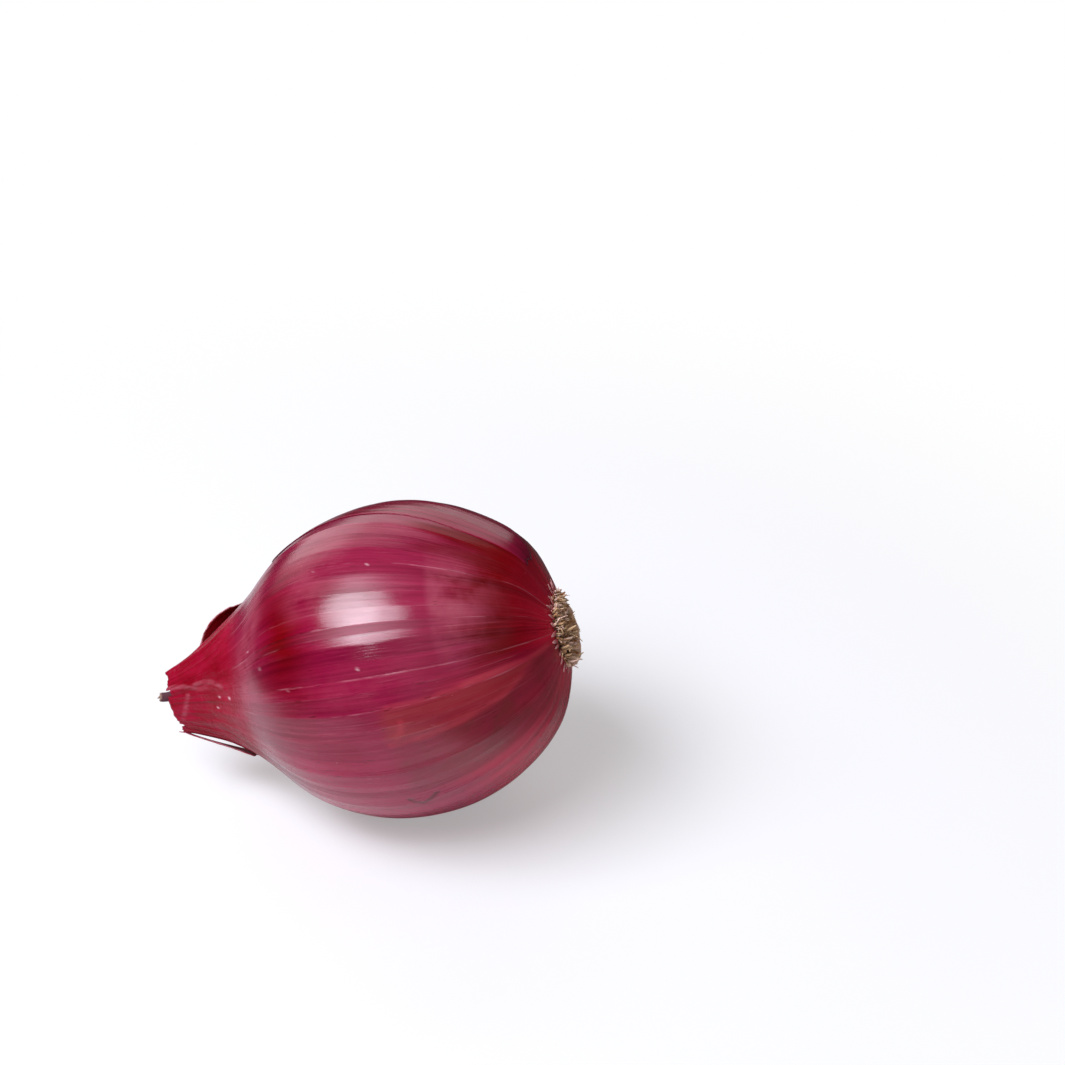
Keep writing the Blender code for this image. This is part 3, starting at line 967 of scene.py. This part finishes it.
def inner_leaves(material):
    """The leaves rolled up inside the neck, whose torn ends show."""
    columns = np.linspace(0, 360, 120, endpoint=False)
    rows = np.linspace(0, 1, 20)[:, None]
    for number, (share, setback, seed) in enumerate(INNER_LEAVES):
        name = f"inner_leaf_{number + 1}"
        top = neck_edge(columns + 40 * number) - setback
        height = top - INNER_LEAF_LENGTH * (1 - rows)
        angle = np.broadcast_to(columns, height.shape)
        points = surface(angle, height)
        wobble = 0.07 * around_noise(angle, height, 14 * MM, 6 * MM, seed)
        points[..., :2] *= (share + wobble)[..., None]
        mesh = grid_mesh(name, points, wrap=True)
        paint_flow(mesh, angle, height)
        paint(mesh, "edge", (top - height) / MM)
        thicken(add_piece(name, mesh, material), 0.2 * MM)
def leaf_tip(material):
    """The shrivelled tip of the inner leaf, a curled dry strip that sticks out of the neck."""
    across, along = np.meshgrid(np.linspace(0, 1, 30), np.linspace(0, 1, 34))
    start = CORE_END + 0.5 * MM
    end = NECK_END + 2.5 * MM
    torn = 1.1 * MM * value_noise(across * 5, 0.5, 0.5, 401) + 1.0 * MM * (across - 0.5)
    height = start + (end + torn - start) * along
    curl = np.radians(-185 + 275 * across + 35 * along)
    radius = (1.50 - 0.75 * along + 0.30 * value_noise(across * 3, along * 4, 0.5, 403)) * MM
    x = radius * np.cos(curl) + 2.6 * MM + 0.6 * MM * along**2
    y = radius * np.sin(curl) - 1.0 * MM * along
    points = settled(np.stack([x, y, height], axis=-1))
    mesh = grid_mesh("dry_leaf_tip_curl", points)
    paint_flow(mesh, 360 * across, height)
    paint(mesh, "edge", edge_distance(points))
    thicken(add_piece("leaf_tip", mesh, material, ["dry_leaf_tip"]), 0.22 * MM)


# ------------------------ root end


def plate_height(radius):
    """Height of the corky plate's face. It lies drawn in, a little below the rim of skin round it."""
    share = radius / PLATE_RADIUS
    return SEAT + ROOT_DENT - 0.25 * MM - 0.35 * MM * (1 - share * share)


def basal_plate():
    """The crumbly face that the roots grow from, with a short side that goes into the bulb."""
    radius = np.linspace(0.02, 1.02, 30)[:, None] * PLATE_RADIUS
    angle = np.linspace(0, 2 * math.pi, 96, endpoint=False)
    x = radius * np.cos(angle)
    y = radius * np.sin(angle)
    crumbs = 0.22 * MM * value_noise(x / (0.7 * MM) + 50, y / (0.7 * MM) + 50, 0.5, 501)
    face = np.stack([x, y, plate_height(radius) + crumbs], axis=-1)
    side = face[-1:] * np.array([0.98, 0.98, 0]) + np.array([0, 0, SEAT + ROOT_DENT + 1 * MM])
    mesh = grid_mesh("basal_disc", settled(np.concatenate([face, side]))[:, ::-1], wrap=True)
    add_piece("basal_disc", mesh, cork_material(), ["basal_plate"])
def corky_rim(material):
    """The dried edge of the plate that stands up on the side turned away from the front."""
    across, along = np.meshgrid(np.linspace(0, 1, 70), np.linspace(0, 1, 12))
    turn = np.radians(75 + 145 * across)
    rise = (2.1 + 0.45 * value_noise(across * 14, 0.5, 0.5, 521)) * MM * np.sin(np.pi * across) ** 0.5
    radius = 6.9 * MM + 0.55 * MM * along + 0.2 * MM * value_noise(across * 9, along * 2, 0.5, 523)
    z = SEAT + ROOT_DENT - rise * along
    points = settled(np.stack([radius * np.cos(turn), radius * np.sin(turn), z], axis=-1))
    mesh = grid_mesh("corky_rim", points)
    paint(mesh, "shade", np.full(turn.size, 0.72))
    paint(mesh, "along", 0.3 + 0.5 * along)
    thicken(add_piece("corky_rim", mesh, material), 0.35 * MM)


def tube(path, radii, sides):
    """Rings of points round a path."""
    tangent = np.gradient(path, axis=0)
    tangent /= np.linalg.norm(tangent, axis=1, keepdims=True)
    helper = np.array([0.31, 0.93, 0.2])  # any way that no root follows
    first = np.cross(tangent, helper)
    first /= np.linalg.norm(first, axis=1, keepdims=True)
    second = np.cross(tangent, first)
    turn = np.linspace(0, 2 * math.pi, sides, endpoint=False)
    ring = first[:, None] * np.cos(turn)[None, :, None] + second[:, None] * np.sin(turn)[None, :, None]
    return path[:, None] + ring * radii[:, None, None]


STRAND_COUNT = 420
STRAND_SIDES = 5
STRAND_STEPS = 6
STRAND_RADII = (0.10, 0.13, 0.17, 0.24, 0.30)  # in millimetres, at mid length
STRAND_TAPER = np.array([1.25, 1.1, 1, 0.95, 0.9, 0.8, 0.35])
LONG_TAPER = np.array([1.1, 1.05, 1, 1, 0.95, 0.9, 0.85, 0.75, 0.5])
LONG_STRANDS = [
    # foot on the plate (mm), direction, how it bends, length and radius (mm)
    ((1.2, -3.2), (0.15, -0.35, -0.9), (0.30, 0.0, -0.1), 3.6, 0.27),
    ((0.4, -2.6), (0.10, -0.10, -1.0), (-0.75, 0.1, 0.2), 4.2, 0.13),
    ((-6.2, -1.6), (-0.05, -0.10, -0.8), (0.35, 0.0, -0.2), 2.9, 0.20),
    ((2.5, 1.0), (0.25, -0.55, -0.6), (0.25, -0.2, 0.1), 3.0, 0.22),
]


def root_strand(chance):
    """Path and radii of one dry root: short and stubby in most cases, longer in a few."""
    away = PLATE_RADIUS * math.sqrt(chance.uniform(0, 1.0))
    around = chance.uniform(0, 2 * math.pi)
    lean = math.radians(4 + 30 * (away / PLATE_RADIUS) ** 2 + chance.uniform(-45, 45))
    turn = around + chance.uniform(-1.6, 1.6)
    length = chance.uniform(0.8, 2.3) * MM
    if chance.random() < 0.03:
        length = chance.uniform(2.6, 3.8) * MM
    bend = chance.uniform(-1.6, 2.2)
    foot = (away * math.cos(around), away * math.sin(around), plate_height(away) + 0.2 * MM)
    path = [np.array(foot)]
    for step in range(STRAND_STEPS):
        angle = lean + bend * (step / STRAND_STEPS) ** 1.5
        way = (math.sin(angle) * math.cos(turn), math.sin(angle) * math.sin(turn), -math.cos(angle))
        turn += chance.uniform(-0.7, 0.7)
        path.append(path[-1] + np.array(way) * length / STRAND_STEPS)
    return np.array(path), chance.choice(STRAND_RADII) * MM * STRAND_TAPER


def long_strand(start, way, droop, length, radius):
    """Path and radii of one longer root that stands out of the tuft."""
    share = np.linspace(0, 1, len(LONG_TAPER))[:, None]
    foot = np.array([start[0], start[1], plate_height(math.hypot(*start) * MM) / MM])
    path = foot + length * (share * np.array(way) + share**2 * np.array(droop))
    return path * MM, radius * MM * LONG_TAPER


def tube_faces(start, rows, sides):
    """Faces of a tube whose points begin at start, with a cap on its last ring."""
    faces = []
    for row in range(rows - 1):
        for side in range(sides):
            a = start + row * sides + side
            b = start + row * sides + (side + 1) % sides
            faces.append((a, b, b + sides, a + sides))
    faces.append(tuple(start + (rows - 1) * sides + side for side in range(sides)))
    return faces


def root_tuft(material):
    """The mat of dry root stubs that covers the plate."""
    chance = random.Random(43)
    strands = [root_strand(chance) for _ in range(STRAND_COUNT)]
    strands += [long_strand(*numbers) for numbers in LONG_STRANDS]
    points, faces, shade, along = [], [], [], []
    for number, (path, radii) in enumerate(strands):
        rows = len(path)
        faces += tube_faces(len(points), rows, STRAND_SIDES)
        points += settled(tube(path, radii, STRAND_SIDES)).reshape(-1, 3).tolist()
        pale = chance.random() if number < STRAND_COUNT else 0.5
        shade += [pale] * rows * STRAND_SIDES
        along += np.repeat(np.linspace(0, 1, rows), STRAND_SIDES).tolist()
    mesh = joined_mesh("root_tuft", points, faces, shade, along)
    names = [f"root_{number:02d}" for number in range(1, CAD_ROOTS + 1)]
    add_piece("root_tuft", mesh, material, names)


def root_collar():
    """Ragged points of torn skin that stand round the basal plate."""
    chance = random.Random(47)
    rows, columns = 7, 5
    across, up = np.meshgrid(np.linspace(-0.5, 0.5, columns), np.linspace(0, 1, rows))
    narrow = (1 - up) ** 0.8 * 0.95 + 0.05
    points, faces, shade, along = [], [], [], []
    angle = -180.0
    while angle < 180:
        width = chance.uniform(5.0, 13.0)
        top = chance.uniform(0.05, 0.75) * MM
        lean = chance.uniform(-4, 4)
        lift = chance.uniform(0.05, 0.35) * MM
        height = SEAT - 0.25 * MM + (top + 0.25 * MM) * up
        off = 0.05 * MM + lift * up * (1 - 2 * across**2)
        tooth = surface(angle + across * width * narrow + lean * up, height, off)
        for row in range(rows - 1):
            for column in range(columns - 1):
                a = len(points) + row * columns + column
                faces.append((a, a + 1, a + 1 + columns, a + columns))
        points += tooth.reshape(-1, 3).tolist()
        shade += [chance.random()] * rows * columns
        along += up.ravel().tolist()
        angle += width * chance.uniform(0.8, 1.6)
    mesh = joined_mesh("root_collar", points, faces, shade, along)
    thicken(add_piece("root_collar", mesh, collar_material()), 0.1 * MM)
# ------------------------ stage, light and camera


FLOOR_SIZE = 3.0
FLOOR_DROP = 0.05 * MM  # how far it lies below the onion
FLOOR_NEAR, FLOOR_FAR = 0.08, 0.22  # where the shaded floor starts and ends to fade into plain white


def dark_in_reflections(look, place, distance):
    """The share of black in the floor as the glossy skin mirrors it.

    It stands for the other onions, behind and to the right, and for the room past the paper.
    """
    parts = look.add("ShaderNodeSeparateXYZ", {0: place})
    x, y = parts.outputs["X"], parts.outputs["Y"]
    behind = look.times(look.step(y, -0.005, 0.035), look.step(x, -0.07, -0.02))
    right = look.step(x, 0.035, 0.07)
    left = look.step(x, -0.09, -0.125)
    beyond = look.step(distance, 0.16, 0.20)
    in_gloss = look.add("ShaderNodeLightPath", {}).outputs["Is Glossy Ray"]
    return look.times(in_gloss, look.most(behind, right, left, beyond), 0.93)


def floor_material():
    """White paper that shows soft shadows near the onion and has no edge further out."""
    look = Look("floor_white")
    place = look.place()
    distance = look.add("ShaderNodeVectorMath", {0: place}, operation="LENGTH").outputs["Value"]
    seen = look.add("ShaderNodeLightPath", {}).outputs["Is Camera Ray"]
    dark = dark_in_reflections(look, place, distance)
    pale = look.mix(seen, (0.74, 0.72, 0.72), (0.46, 0.45, 0.46))
    pale = look.mix(dark, pale, (0.02, 0.02, 0.02))
    near = look.add("ShaderNodeBsdfPrincipled", {
        "Base Color": pale, "Roughness": 0.55, "Specular IOR Level": 0.3,
        "Emission Color": (1, 0.97, 0.98, 1), "Emission Strength": look.times(seen, 0.36)})
    glow = look.times(look.step(seen, 0, 1, 0.25, 1.0), look.math("SUBTRACT", 1.0, dark))
    white = look.add("ShaderNodeEmission", {"Color": (1, 1, 1, 1), "Strength": glow})
    far = look.step(distance, FLOOR_NEAR, FLOOR_FAR)
    mixed = look.add("ShaderNodeMixShader", {0: far, 1: near.outputs[0], 2: white.outputs[0]})
    look.add("ShaderNodeOutputMaterial", {"Surface": mixed.outputs[0]})
    return look.material


def floor():
    """The plain floor that the onion lies on."""
    line = np.linspace(-FLOOR_SIZE, FLOOR_SIZE, 25)
    x, y = np.meshgrid(line, line)
    mesh = grid_mesh("floor", np.stack([x, y, np.full_like(x, -FLOOR_DROP)], axis=-1))
    mesh.materials.append(floor_material())
    piece = bpy.data.objects.new("floor", mesh)
    bpy.context.scene.collection.objects.link(piece)
LIGHT_COLOUR = (0.92, 0.98, 1.06)
LIGHT_AIM = Vector((0, 0, 0.03))
SOFTBOXES = [
    # name, direction, distance, width and height, radiance
    ("key_light", (-0.46, -0.33, 0.82), 1.0, (0.93, 0.55), 8.5),
    ("key_light_middle", (-0.52, -0.28, 0.81), 0.98, (0.52, 0.30), 6.0),
]


def softbox(name, direction, distance, size, radiance):
    """A rectangular soft light that shines on the onion from a direction."""
    direction = Vector(direction).normalized()
    light = bpy.data.lights.new(name, "AREA")
    light.shape = "RECTANGLE"
    light.size, light.size_y = size
    light.energy = radiance * math.pi * size[0] * size[1]
    light.color = LIGHT_COLOUR
    lamp = bpy.data.objects.new(name, light)
    lamp.location = LIGHT_AIM + direction * distance
    lamp.rotation_euler = direction.to_track_quat("Z", "Y").to_euler()
    lamp.visible_camera = False
    bpy.context.scene.collection.objects.link(lamp)


ROOM_DARKNESS = 0.03
ROOM_LIGHTS = [
    # direction, degrees from it where the light has faded out and where it is full, brightness
    ((-0.183, 0.944, 0.276), 32, 29, 1.00),
    ((-0.575, 0.790, 0.208), 21, 16, 0.50),
    ((-0.10, -0.10, 1.0), 60, 15, 0.35),
    ((0.55, -0.75, 0.45), 50, 20, 0.35),
]


def studio():
    """A white room: white to the camera, bright low down behind and to the left, dark elsewhere."""
    world = bpy.data.worlds.new("studio")
    world.use_nodes = True
    bpy.context.scene.world = world
    nodes = Nodes(world.node_tree)
    where = nodes.add("ShaderNodeTexCoord", {}).outputs["Generated"]
    room = ROOM_DARKNESS
    for direction, outer, inner, brightness in ROOM_LIGHTS:
        way = tuple(Vector(direction).normalized())
        facing = nodes.add("ShaderNodeVectorMath", {0: where, 1: way}, operation="DOT_PRODUCT")
        low = math.cos(math.radians(outer))
        high = math.cos(math.radians(inner))
        lobe = nodes.step(facing.outputs["Value"], low, high, 0.0, brightness)
        room = nodes.math("ADD", room, lobe)
    lit = nodes.add("ShaderNodeBackground", {"Color": (1, 1, 1, 1), "Strength": room})
    seen = nodes.add("ShaderNodeBackground", {"Color": (1, 1, 1, 1), "Strength": 1.0})
    camera_ray = nodes.add("ShaderNodeLightPath", {}).outputs["Is Camera Ray"]
    mixed = nodes.add("ShaderNodeMixShader", {0: camera_ray, 1: lit.outputs[0], 2: seen.outputs[0]})
    nodes.add("ShaderNodeOutputWorld", {"Surface": mixed.outputs[0]})
    bpy.context.scene.view_settings.view_transform = "Standard"
# The photo's viewpoint, found by laying the model's outline over the onion in the photo
CAMERA_PLACE = Vector((0.0722, -0.6668, 0.4851))
CAMERA_AZIMUTH = math.radians(3.9)
CAMERA_PITCH = math.radians(32.3)
CAMERA_FIELD = math.radians(15)


def camera():
    """A still camera without depth of field."""
    data = bpy.data.cameras.new("camera")
    data.angle = CAMERA_FIELD
    data.clip_start = 0.01
    view = bpy.data.objects.new("camera", data)
    view.location = CAMERA_PLACE
    view.rotation_euler = (math.pi / 2 - CAMERA_PITCH, 0, CAMERA_AZIMUTH)
    bpy.context.scene.collection.objects.link(view)
    bpy.context.scene.camera = view


# ------------------------ all of it

outer_skin()
papery = paper_material("papery_skin", (CRIMSON, DEEP_CRIMSON, PALE_PINK))
far_layer(paper_material("far_skin", FAR_SKIN, 0.15, 0.42, 0.04 * MM))
under_flap(papery)
back_flap(paper_material("back_flap", BACK_FLAP))
inner_leaves(papery)
leaf_tip(paper_material("dry_leaf", DRY_LEAF, 0.6))
basal_plate()
straw = root_material()
corky_rim(straw)
root_tuft(straw)
root_collar()

floor()
for numbers in SOFTBOXES:
    softbox(*numbers)
studio()
camera()
